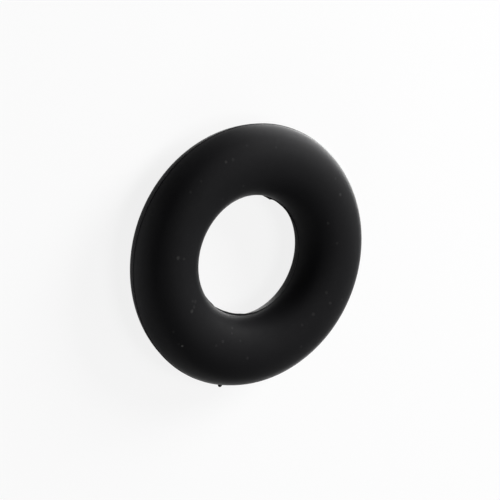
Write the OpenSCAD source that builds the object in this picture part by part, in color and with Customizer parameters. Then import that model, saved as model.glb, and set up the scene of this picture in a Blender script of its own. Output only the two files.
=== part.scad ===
// Plump silicone ring, moulded in one piece between two mould halves.
//
// The section is an oval of four arcs: a round wall outside and in the hole, joined
// smoothly to the two gently crowned faces. The mould halves met at mid-height, and left
// a thin fin of flash round both walls. On the outer fin stands one vent nub, and in the
// hole the fin is torn down to a stub for a stretch, with a flap left at the tear's start.
//
// The ring lies flat. The origin is on the surface below its centre, and +Z is its axis.
// Directions round the ring are angles in degrees, from +X towards +Y.

/* [Ring] */
// Outside diameter over the outer wall
ring_d = 50; // [46:0.5:60]
// Diameter of the hole at its narrowest
hole_d = 23.5; // [16:0.5:27]
// Thickness from face to face
ring_t = 10.8; // [10.2:0.1:13]
// Radius of the outer wall and of the hole's wall, seen in section
wall_r = 5; // [3:0.1:5.3]

/* [Flash] */
// How far the flash stands out from the outer wall
flash_h = 0.3; // [0.1:0.05:0.6]
// How far the flash stands into the hole
hole_flash_h = 0.35; // [0.2:0.05:0.6]
// Thickness of the flash where it leaves the wall
flash_root_t = 0.3; // [0.22:0.02:0.6]
// Thickness of the flash at its edge
flash_edge_t = 0.14; // [0.06:0.02:0.2]

/* [Vent nub] */
// Direction of the nub on the outer flash
nub_at = 256; // [0:1:359]
// Diameter of the nub's round end
nub_d = 0.86; // [0.6:0.02:1.6]
// Thickness of the nub
nub_t = 0.4; // [0.3:0.05:1]

/* [Torn flash] */
// Direction at which the tear in the hole's flash starts
tear_at = 66; // [0:1:359]
// Angle that the tear covers
tear_span = 28; // [20:1:90]
// Height of the stub left along the tear
stub_h = 0.12; // [0.05:0.01:0.15]
// Height of the flap left at the tear's start
flap_h = 0.5; // [0.4:0.05:0.9]
// Width of the flap, measured along the hole's wall
flap_w = 4.4; // [2:0.1:6]
// Thickness of the flap
flap_t = 0.2; // [0.1:0.02:0.4]

/* [Hidden] */

$fn = 120;

// How deep the flash, the nub and the flap reach into the wall that carries them
sink = 0.5;
// Room that the tear's cut takes beyond the edge of the flash
cut_room = 1;
// Where the flap's tip stands and where the tear meets it, as shares of its width
flap_tip_share = 0.4;
flap_tear_share = 0.5;

ring_r = ring_d / 2;
hole_r = hole_d / 2;
mid_z = ring_t / 2;

// The section's centre line, its half width and its half thickness
mid_r = (ring_r + hole_r) / 2;
half_w = (ring_r - hole_r) / 2;
half_t = ring_t / 2;

// Each face is an arc that passes smoothly into the wall arcs on both sides of it
wall_x = half_w - wall_r;
face_r = (pow(wall_x, 2) + pow(half_t, 2) - pow(wall_r, 2)) / (2 * (half_t - wall_r));
face_drop = face_r - half_t;
join_x = wall_x * face_r / (face_r - wall_r);

flap_span = flap_w / hole_r * 180 / PI;
flap_from = tear_at - flap_span * flap_tear_share;
flap_tip_at = flap_from + flap_span * flap_tip_share;
flap_to = flap_from + flap_span;

// A point at a radius and a direction
function at(r, angle) = [r * cos(angle), r * sin(angle)];

// The oval, with its centre at the origin
module ring_section() {
    intersection() {
        translate([0, -face_drop])
            circle(r = face_r);
        translate([0, face_drop])
            circle(r = face_r);
        square([2 * join_x, ring_t], center = true);
    }
    for (side = [-1, 1])
        translate([side * wall_x, 0])
            circle(r = wall_r);
}

// The flash in section: the wall is at x = 0 and the edge at x = height
module flash_section(height) {
    root = flash_root_t / 2;
    edge = flash_edge_t / 2;
    polygon([
        [-sink, -root],
        [0, -root],
        [height, -edge],
        [height, edge],
        [0, root],
        [-sink, root]
    ]);
}

module body() {
    rotate_extrude()
        translate([mid_r, 0])
            ring_section();
}

module outer_flash() {
    rotate_extrude()
        translate([ring_r, 0])
            flash_section(flash_h);
}

module hole_flash() {
    cut_from = hole_r - hole_flash_h - cut_room;
    cut_to = hole_r - stub_h;
    difference() {
        rotate_extrude()
            translate([hole_r, 0])
                mirror([1, 0])
                    flash_section(hole_flash_h);
        rotate([0, 0, tear_at])
            rotate_extrude(angle = tear_span)
                translate([cut_from, -cut_room])
                    square([cut_to - cut_from, 2 * cut_room]);
    }
}

module vent_nub() {
    rotate([0, 0, nub_at])
        translate([ring_r + flash_h, 0, 0])
            cylinder(d = nub_d, h = nub_t, center = true);
}

module torn_flap() {
    linear_extrude(height = flap_t, center = true)
        polygon([
            at(hole_r + sink, flap_from),
            at(hole_r, flap_from),
            at(hole_r - flap_h, flap_tip_at),
            at(hole_r, flap_to),
            at(hole_r + sink, flap_to)
        ]);
}

module ring() {
    color([0.09, 0.09, 0.095])
        translate([0, 0, mid_z])
            union() {
                body();
                outer_flash();
                hole_flash();
                vent_nub();
                torn_flap();
            }
}

ring();
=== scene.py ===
"""A plump ring of matt black silicone, moulded in one piece, lying on a pale studio floor.

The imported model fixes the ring's size and place. This script gives it its looks: a fine mesh
with the mould flash as it broke off, the silicone with the dust on it, the light and the camera.
Lengths are in metres. Directions round the ring are degrees from +X towards +Y.
"""

import math

import bpy
import numpy as np
from mathutils import Matrix, Vector, noise


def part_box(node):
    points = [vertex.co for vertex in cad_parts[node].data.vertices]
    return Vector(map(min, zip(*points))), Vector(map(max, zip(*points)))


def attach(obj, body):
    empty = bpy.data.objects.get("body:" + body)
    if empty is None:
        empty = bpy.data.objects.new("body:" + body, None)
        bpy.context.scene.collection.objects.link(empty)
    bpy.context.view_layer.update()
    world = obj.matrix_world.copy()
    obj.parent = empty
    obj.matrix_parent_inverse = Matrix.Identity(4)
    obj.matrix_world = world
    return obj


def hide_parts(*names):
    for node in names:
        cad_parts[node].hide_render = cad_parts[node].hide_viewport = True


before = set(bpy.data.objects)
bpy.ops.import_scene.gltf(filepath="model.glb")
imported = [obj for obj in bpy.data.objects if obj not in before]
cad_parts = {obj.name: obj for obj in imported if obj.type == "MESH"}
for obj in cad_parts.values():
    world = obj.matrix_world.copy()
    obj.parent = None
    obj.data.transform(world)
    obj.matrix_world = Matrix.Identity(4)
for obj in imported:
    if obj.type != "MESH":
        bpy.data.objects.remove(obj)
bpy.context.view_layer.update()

MM = 0.001

# ---------------------------------------------------------------- the ring's sizes
RING_LOW, RING_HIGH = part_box("ring")
MID_Z = (RING_HIGH[2] + RING_LOW[2]) / 2

# Height of the flash on the outer wall, and half its thickness where it leaves a wall
FLASH_H = 0.1 * MM
FLASH_ROOT_HALF = 0.15 * MM

# How far each wall swells towards the parting line, and how far from it the swelling starts
SWELL = 0.2 * MM
HOLE_SWELL = 0.12 * MM
SWELL_REACH = 3.2 * MM

# Radii of the ring's two walls without flash and swelling, and of the walls' round in section
RING_R = (RING_HIGH[0] - RING_LOW[0]) / 2 - FLASH_H - SWELL
HOLE_R = 11.75 * MM
WALL_R = 5 * MM

# The section is an oval of four arcs, as in the solid
HALF_W = (RING_R - HOLE_R) / 2
HALF_T = (RING_HIGH[2] - RING_LOW[2]) / 2
MID_R = (RING_R + HOLE_R) / 2
WALL_X = HALF_W - WALL_R
FACE_R = (WALL_X**2 + HALF_T**2 - WALL_R**2) / (2 * (HALF_T - WALL_R))
FACE_DROP = FACE_R - HALF_T
# Angles in section at which a wall's arc passes into a face's, and at which the flash leaves it
JOIN_ANGLE = math.degrees(math.atan2(FACE_DROP, WALL_X))
ROOT_ANGLE = math.degrees(math.asin(FLASH_ROOT_HALF / WALL_R))

# The vent nub on the outer flash, a round lump of rubber: direction, radius, half thickness
NUB_AT = 256.0
NUB_R = 0.43 * MM
NUB_HALF_T = 0.2 * MM

# Height of the flash in the hole: direction, and height in mm. The tear is at 70 to 92
HOLE_FLASH = (
    (0, 0.04), (15, 0.10), (30, 0.20), (40, 0.23), (52, 0.19), (58, 0.17),
    (61, 0.21), (63.6, 0.40), (65.2, 0.32), (68, 0.24), (70.5, 0.14), (72.5, 0.03),
    (76, 0.01), (80, 0.03), (84, 0.01), (90, 0.02), (94, 0.10), (100, 0.18),
    (108, 0.23), (228, 0.23), (231, 0.10), (235, 0.20), (245, 0.30), (262, 0.28),
    (272, 0.20), (282, 0.10), (295, 0.04), (360, 0.04),
)

# How the edge of the flash wanders: share of its height, waves to a radius of the ring, and seed
OUTER_WAVES = ((0.16, 5, 1.5), (0.10, 30, 4.5))
HOLE_WAVES = ((0.10, 6, 7.5), (0.10, 26, 9.5))

# The flash's section, from its root to its edge: share of its height, and of its half thickness
FLASH_HALF = ((0.25, 0.95), (0.5, 0.83), (0.75, 0.62), (0.93, 0.35), (1.0, 0.1))

# Steps of the mesh: in degrees round the ring, finer at the nub and the flap, and along each arc
STEP_ANGLE = 0.75
FINE_STEP_ANGLE = 0.15
FINE_STRETCHES = ((NUB_AT - 2, NUB_AT + 2), (58, 75))
STEPS_PER_WALL = 18
STEPS_PER_FACE = 28
# Edges of the mesh that turn by more than this many degrees are drawn sharp
SHARP_ANGLE = 40


# ---------------------------------------------------------------- the ring's mesh
def arc(centre_x, centre_z, radius, start, end, steps):
    """Points of an arc of the section, from one angle to another, both ends included."""
    a = np.radians(np.linspace(start, end, steps + 1))
    return np.column_stack((centre_x + radius * np.cos(a), centre_z + radius * np.sin(a)))


def half_section():
    """The rubber's upper outline without flash, from the outer wall over the face to the hole."""
    outer = arc(WALL_X, 0, WALL_R, ROOT_ANGLE, JOIN_ANGLE, STEPS_PER_WALL)
    face = arc(0, -FACE_DROP, FACE_R, JOIN_ANGLE, 180 - JOIN_ANGLE, STEPS_PER_FACE)
    hole = arc(-WALL_X, 0, WALL_R, 180 - JOIN_ANGLE, 180 - ROOT_ANGLE, STEPS_PER_WALL)
    outline = np.vstack((outer, face[1:-1], hole))
    near = np.cos(np.minimum(outline[:, 1] / SWELL_REACH, 1) * np.pi / 2) ** 2
    outline[:, 0] += np.where(outline[:, 0] > 0, SWELL, -HOLE_SWELL) * near
    return outline


def skin_point(direction, tilt):
    """A point of the upper skin: its direction round the ring, and the tilt that it faces.

    A tilt of 0 faces straight outwards, 90 faces up and 180 faces into the hole.
    """
    if tilt < JOIN_ANGLE:
        centre_x, centre_z, radius = WALL_X, 0, WALL_R
    elif tilt <= 180 - JOIN_ANGLE:
        centre_x, centre_z, radius = 0, -FACE_DROP, FACE_R
    else:
        centre_x, centre_z, radius = -WALL_X, 0, WALL_R
    r = MID_R + centre_x + radius * math.cos(math.radians(tilt))
    a = math.radians(direction)
    z = MID_Z + centre_z + radius * math.sin(math.radians(tilt))
    return Vector((r * math.cos(a), r * math.sin(a), z))


def wander(angle, waves):
    """A factor near 1 for the flash's height at a direction. It joins up round the ring."""
    a = math.radians(angle)
    factor = 1
    for share, size, seed in waves:
        factor += share * noise.noise(Vector((math.cos(a) * size, math.sin(a) * size, seed)))
    return factor


def outer_flash(angle):
    """Height and half thickness of the outer flash at a direction."""
    height = FLASH_H * wander(angle, OUTER_WAVES)
    half_t = FLASH_ROOT_HALF
    along = math.radians(angle - NUB_AT) * RING_R
    if abs(along) < NUB_R:
        lump = math.sqrt(1 - (along / NUB_R) ** 2)
        height += NUB_R * lump
        half_t += (NUB_HALF_T - FLASH_ROOT_HALF) * lump
    return height, half_t


def hole_flash(angle):
    """Height and half thickness of the flash in the hole at a direction."""
    directions, heights = zip(*HOLE_FLASH)
    height = float(np.interp(angle, directions, heights)) * MM
    return height * wander(angle, HOLE_WAVES), FLASH_ROOT_HALF


def directions_round():
    """Directions of the mesh's rows, closer together where the flash is ragged."""
    rows = []
    angle = 0.0
    # Short of the full turn by half a step, so that a rounding never repeats the first row
    while angle < 360 - FINE_STEP_ANGLE / 2:
        rows.append(angle)
        fine = any(low <= angle < high for low, high in FINE_STRETCHES)
        angle += FINE_STEP_ANGLE if fine else STEP_ANGLE
    return rows


def flash_points(height, half_t):
    """The flash's points in section, from its upper root round its edge to its lower root."""
    upper = np.array(FLASH_HALF) * (height, half_t)
    lower = upper * (1, -1)
    return np.vstack((upper, lower[::-1]))


def section_at(angle, upper, lower):
    """The whole closed section at a direction: distance from the ring's middle circle, and height."""
    hole = flash_points(*hole_flash(angle)) * (-1, 1) - (HALF_W + HOLE_SWELL, 0)
    outer = flash_points(*outer_flash(angle)) + (HALF_W + SWELL, 0)
    return np.vstack((upper, hole, lower, outer[::-1]))


def ring_mesh():
    """The ring with its flash, as one closed mesh."""
    upper = half_section()
    lower = (upper * (1, -1))[::-1]
    rows = []
    for angle in directions_round():
        section = section_at(angle, upper, lower)
        a = math.radians(angle)
        r = MID_R + section[:, 0]
        rows.append(np.column_stack((r * math.cos(a), r * math.sin(a), MID_Z + section[:, 1])))
    rounds, count = len(rows), len(rows[0])
    faces = []
    for j in range(rounds):
        k = (j + 1) % rounds
        for i in range(count):
            n = (i + 1) % count
            faces.append((j * count + i, k * count + i, k * count + n, j * count + n))
    mesh = bpy.data.meshes.new("silicone_ring")
    mesh.from_pydata(np.vstack(rows).tolist(), [], faces)
    mesh.update()
    return mesh


def make_ring(material):
    """The ring, which stands for the solid of the same name."""
    mesh = ring_mesh()
    for polygon in mesh.polygons:
        polygon.use_smooth = True
    mesh.set_sharp_from_angle(angle=math.radians(SHARP_ANGLE))
    ring = bpy.data.objects.new("silicone_ring", mesh)
    bpy.context.scene.collection.objects.link(ring)
    mesh.materials.append(material)
    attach(ring, "root")
    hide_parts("ring")


# ---------------------------------------------------------------- materials
def new_material(name):
    """An empty node material, with its node tree and its output."""
    material = bpy.data.materials.new(name)
    material.use_nodes = True
    tree = material.node_tree
    tree.nodes.clear()
    output = tree.nodes.new("ShaderNodeOutputMaterial")
    return material, tree, output


def add_node(tree, kind, inputs, **settings):
    """Add a node and give it. Each input is a plain value, or the output of another node."""
    node = tree.nodes.new("ShaderNode" + kind)
    for name, value in settings.items():
        setattr(node, name, value)
    for socket, value in inputs.items():
        if isinstance(value, bpy.types.NodeSocket):
            tree.links.new(value, node.inputs[socket])
        else:
            node.inputs[socket].default_value = value
    return node


def add(tree, kind, inputs, output=0, **settings):
    """Add a node in the same way, and give one of its outputs."""
    return add_node(tree, kind, inputs, **settings).outputs[output]


def add_math(tree, operation, a, b, **settings):
    """Add a node that works out one number from two."""
    return add(tree, "Math", {0: a, 1: b}, operation=operation, **settings)


# Specks of dust and lint on the skin: direction, tilt, radius in mm, and thickness from 0 to 1
SPECKS = (
    (219, 63, 0.30, 0.22), (205, 97.5, 0.48, 0.070), (169.5, 86, 0.50, 0.065),
    (170, 95, 0.38, 0.040), (30.5, 76, 0.42, 0.065), (111, 68, 0.38, 0.055),
    (107, 69.5, 0.48, 0.030), (105, 109, 0.38, 0.030), (19, 107.5, 0.40, 0.040),
    (244.5, 127, 0.36, 0.045), (244.5, 116, 0.34, 0.030), (238.5, 101, 0.42, 0.035),
    (235, 92, 0.36, 0.025), (252.5, 109, 0.34, 0.025), (325.5, 89, 0.44, 0.045),
    (330, 101, 0.42, 0.035), (330.5, 72, 0.34, 0.025), (313.5, 101, 0.48, 0.035),
    (303, 102, 0.40, 0.025), (296, 78, 0.38, 0.025), (259.5, 88, 0.40, 0.035),
    (209.5, 64, 0.36, 0.030), (217, 60, 0.34, 0.025), (203.5, 103, 0.46, 0.030),
    (201, 108, 0.50, 0.030), (199.5, 104, 0.40, 0.030), (135, 66, 0.38, 0.030),
    (127.5, 67, 0.34, 0.025), (3.5, 100, 0.38, 0.030), (39, 68, 0.38, 0.025),
    (81, 67, 0.38, 0.020), (97, 58, 0.38, 0.018), (123, 108, 0.38, 0.018),
)
# Share of a speck's radius over which it is at its thickest
SPECK_CORE = 0.3
# How far the outline of a speck strays, and the size of its bays
SPECK_STRAY = 0.16 * MM
SPECK_BAY = 0.25 * MM

# Finer dust, scattered by chance: size of the cells that hold a grain each, the share of the cells
# that are filled, a grain's radius and greatest thickness, and the share of the radius at its thickest
GRAIN_CELL = 0.9 * MM
GRAIN_SHARE = 0.4
GRAIN_R = 0.13 * MM
GRAIN_THICKNESS = 0.02
GRAIN_CORE = 0.4

# The thin film of dust: size of its clouds, and its greatest thickness
FILM_CLOUD = 7 * MM
FILM_THICKNESS = 0.009

SILICONE_BLACK = (0.0024, 0.0024, 0.0033, 1)
DUST_GREY = (0.30, 0.30, 0.29, 1)

# The gloss of the skin: its patches to the metre, and its least and greatest roughness
GLOSS_PATCHES_PER_M = 900.0
LEAST_ROUGHNESS = 0.61
GREATEST_ROUGHNESS = 0.69
# The fine relief that the mould left: its bumps to the metre, its strength and its height
BUMPS_PER_M = 9000.0
BUMP_STRENGTH = 0.2
BUMP_HEIGHT = 0.01 * MM
# How strongly the silicone mirrors light, and the soft sheen of its skin at a glancing view
SILICONE_IOR = 1.41
SPECULAR_LEVEL = 0.15
SHEEN = 0.35
SHEEN_ROUGHNESS = 0.28


def speck_mask(tree, place):
    """How thickly the single specks cover the skin at a place, from 0 to 1."""
    stray = add(tree, "TexNoise", {"Vector": place, "Scale": 1 / SPECK_BAY, "Detail": 1.0})
    stray = add_math(tree, "SUBTRACT", stray, 0.5)
    stray = add_math(tree, "MULTIPLY", stray, 2 * SPECK_STRAY)
    mask = None
    for direction, tilt, radius, thickness in SPECKS:
        centre = skin_point(direction, tilt)
        away = add(tree, "VectorMath", {0: place, 1: centre}, "Value", operation="DISTANCE")
        away = add_math(tree, "ADD", away, stray)
        speck = add(tree, "MapRange", {
            "Value": away, "From Min": radius * MM, "From Max": SPECK_CORE * radius * MM,
            "To Min": 0.0, "To Max": thickness,
        }, interpolation_type="SMOOTHSTEP")
        mask = speck if mask is None else add_math(tree, "MAXIMUM", mask, speck)
    return mask


def grain_mask(tree, place):
    """The fine dust: small dots, one in some of the cells of a random pattern."""
    cells = add_node(tree, "TexVoronoi", {"Vector": place, "Scale": 1 / GRAIN_CELL})
    dot = add(tree, "MapRange", {
        "Value": cells.outputs["Distance"],
        "From Min": GRAIN_R / GRAIN_CELL, "From Max": GRAIN_CORE * GRAIN_R / GRAIN_CELL,
        "To Min": 0.0, "To Max": GRAIN_THICKNESS,
    })
    # Each cell has a colour of its own: its red says if the cell is filled, its green how thickly
    chance = add_node(tree, "SeparateColor", {0: cells.outputs["Color"]})
    filled = add_math(tree, "LESS_THAN", chance.outputs["Red"], GRAIN_SHARE)
    thick = add_math(tree, "MULTIPLY", dot, chance.outputs["Green"])
    return add_math(tree, "MULTIPLY", thick, filled)


def silicone_color(tree, place):
    """The colour of the skin: black silicone, greyer where dust lies thicker."""
    film = add(tree, "TexNoise", {
        "Vector": place, "Scale": 1 / FILM_CLOUD, "Detail": 5.0, "Roughness": 0.8,
    })
    film = add_math(tree, "MULTIPLY", film, FILM_THICKNESS)
    dust = add_math(tree, "MAXIMUM", speck_mask(tree, place), grain_mask(tree, place))
    dust = add_math(tree, "ADD", dust, film, use_clamp=True)
    color = add_node(tree, "ValToRGB", {"Fac": dust})
    color.color_ramp.elements[0].color = SILICONE_BLACK
    color.color_ramp.elements[1].color = DUST_GREY
    return color.outputs["Color"]


def silicone_material():
    """Matt black moulded silicone, with the dust that has settled on it."""
    material, tree, output = new_material("silicone")
    place = add(tree, "TexCoord", {}, "Object")
    color = silicone_color(tree, place)
    gloss = add(tree, "TexNoise", {"Vector": place, "Scale": GLOSS_PATCHES_PER_M, "Detail": 3.0})
    rough = add(tree, "MapRange", {
        "Value": gloss, "To Min": LEAST_ROUGHNESS, "To Max": GREATEST_ROUGHNESS,
    })
    relief = add(tree, "TexNoise", {"Vector": place, "Scale": BUMPS_PER_M, "Detail": 2.0})
    bump = add(tree, "Bump", {"Strength": BUMP_STRENGTH, "Distance": BUMP_HEIGHT, "Height": relief})
    shader = add(tree, "BsdfPrincipled", {
        "Base Color": color, "Roughness": rough, "Normal": bump,
        "IOR": SILICONE_IOR, "Specular IOR Level": SPECULAR_LEVEL,
        "Sheen Weight": SHEEN, "Sheen Roughness": SHEEN_ROUGHNESS,
    })
    tree.links.new(shader, output.inputs["Surface"])
    return material


FLOOR_COLOR = (0.9, 0.9, 0.905, 1)
WHITE = (1, 1, 1, 1)
# How much of the floor is plain white to the camera, and in the gloss of the ring
WHITE_TO_CAMERA = 0.85
WHITE_IN_GLOSS = 0.3


def floor_material():
    """Pale studio floor: it keeps the ring's shadow, and looks bright to the camera."""
    material, tree, output = new_material("studio_floor")
    lit = add(tree, "BsdfDiffuse", {"Color": FLOOR_COLOR})
    white = add(tree, "Emission", {"Color": WHITE, "Strength": 1.0})
    ray = add_node(tree, "LightPath", {}).outputs
    camera = add_math(tree, "MULTIPLY", ray["Is Camera Ray"], WHITE_TO_CAMERA)
    gloss = add_math(tree, "MAXIMUM", ray["Is Glossy Ray"], ray["Is Transmission Ray"])
    gloss = add_math(tree, "MULTIPLY", gloss, WHITE_IN_GLOSS)
    share = add_math(tree, "MAXIMUM", camera, gloss)
    surface = add(tree, "MixShader", {"Fac": share, 1: lit, 2: white})
    tree.links.new(surface, output.inputs["Surface"])
    return material


# ---------------------------------------------------------------- studio
FLOOR_SIZE = 4.0

# Soft lamps that face the ring: name, direction, elevation, radiance
LAMPS = (
    ("overhead", 0, 75, 4.4),
    ("key", 30, 24, 16.0),
    ("fill_right", 330, 24, 1.6),
    ("fill_low", 240, 24, 2.1),
)
LAMP_DISTANCE = 0.6
LAMP_SIZE = 0.3

# Light panels that lie on the floor, for the ring's rims: name, direction, distance, length, width,
# radiance. The small one lies in the hole
PANELS = (
    ("panel_far", 45, 0.200, 0.240, 0.160, 5.3),
    ("panel_near", 45, 0.052, 0.056, 0.042, 5.3),
    ("panel_left", 180, 0.056, 0.048, 0.043, 1.9),
    ("panel_hole", 284, 0.0095, 0.003, 0.009, 8.0),
)
# How far above the floor a panel's face is
PANEL_HEIGHT = 0.05 * MM

# The camera stands off from the middle of the ring, and its top points along +Y
CAMERA_DIRECTION = 153.2
CAMERA_ELEVATION = 54.1
CAMERA_DISTANCE = 0.89
CAMERA_LENS_MM = 340.4
SENSOR_MM = 36
# How far the camera's axis passes to the right of the ring's middle, and above it
CAMERA_RIGHT = 0.54 * MM
CAMERA_UP = 0.94 * MM
# The nearest and the farthest that the camera sees
CAMERA_NEAR = 0.01
CAMERA_FAR = 20


def aim(direction, elevation):
    """Unit vector at a direction round the ring and an elevation above the floor."""
    a, e = math.radians(direction), math.radians(elevation)
    return Vector((math.cos(a) * math.cos(e), math.sin(a) * math.cos(e), math.sin(e)))


def make_floor():
    """The floor, at the height of the ring's lower face."""
    mesh = bpy.data.meshes.new("floor")
    half = FLOOR_SIZE / 2
    z = RING_LOW[2]
    corners = [(-half, -half, z), (half, -half, z), (half, half, z), (-half, half, z)]
    mesh.from_pydata(corners, [], [(0, 1, 2, 3)])
    floor = bpy.data.objects.new("floor", mesh)
    bpy.context.scene.collection.objects.link(floor)
    mesh.materials.append(floor_material())


def soft_light(name, length, width, radiance):
    """A rectangular soft light, with the radiance its surface shows."""
    light = bpy.data.lights.new(name, "AREA")
    light.shape = "RECTANGLE"
    light.size = length
    light.size_y = width
    light.energy = radiance * math.pi * length * width
    lamp = bpy.data.objects.new(name, light)
    bpy.context.scene.collection.objects.link(lamp)
    return lamp


def make_lamp(name, direction, elevation, radiance):
    """A soft light that stands off from the ring and faces it."""
    lamp = soft_light(name, LAMP_SIZE, LAMP_SIZE, radiance)
    towards = aim(direction, elevation)
    lamp.location = towards * LAMP_DISTANCE
    lamp.rotation_euler = towards.to_track_quat("Z", "Y").to_euler()


def make_panel(name, direction, distance, length, width, radiance):
    """A soft light that lies on the floor and faces up. The camera doesn't see it."""
    lamp = soft_light(name, length, width, radiance)
    place = aim(direction, 0) * distance
    lamp.location = (place.x, place.y, RING_LOW[2] + PANEL_HEIGHT)
    lamp.rotation_euler = (math.pi, 0, math.radians(direction))
    lamp.visible_camera = False


def make_world():
    """A world that is plain white to the camera, and gives no light of its own."""
    world = bpy.data.worlds.new("studio")
    world.use_nodes = True
    tree = world.node_tree
    path = tree.nodes.new("ShaderNodeLightPath")
    background = tree.nodes["Background"]
    background.inputs["Color"].default_value = WHITE
    tree.links.new(path.outputs["Is Camera Ray"], background.inputs["Strength"])
    bpy.context.scene.world = world


def make_camera():
    """The camera, which looks down on the ring from its left side."""
    data = bpy.data.cameras.new("camera")
    data.lens = CAMERA_LENS_MM
    data.sensor_width = SENSOR_MM
    data.clip_start = CAMERA_NEAR
    data.clip_end = CAMERA_FAR
    camera = bpy.data.objects.new("camera", data)
    bpy.context.scene.collection.objects.link(camera)
    back = aim(CAMERA_DIRECTION, CAMERA_ELEVATION)
    right = Vector((0, 1, 0)).cross(back).normalized()
    up = back.cross(right)
    middle = Vector((0, 0, MID_Z))
    place = middle + back * CAMERA_DISTANCE + right * CAMERA_RIGHT + up * CAMERA_UP
    turn = Matrix((right, up, back)).transposed().to_4x4()
    camera.matrix_world = Matrix.Translation(place) @ turn
    bpy.context.scene.camera = camera


# ---------------------------------------------------------------- the scene
make_camera()
make_ring(silicone_material())
make_floor()
for lamp_values in LAMPS:
    make_lamp(*lamp_values)
for panel_values in PANELS:
    make_panel(*panel_values)
make_world()
bpy.context.scene.view_settings.view_transform = "Standard"
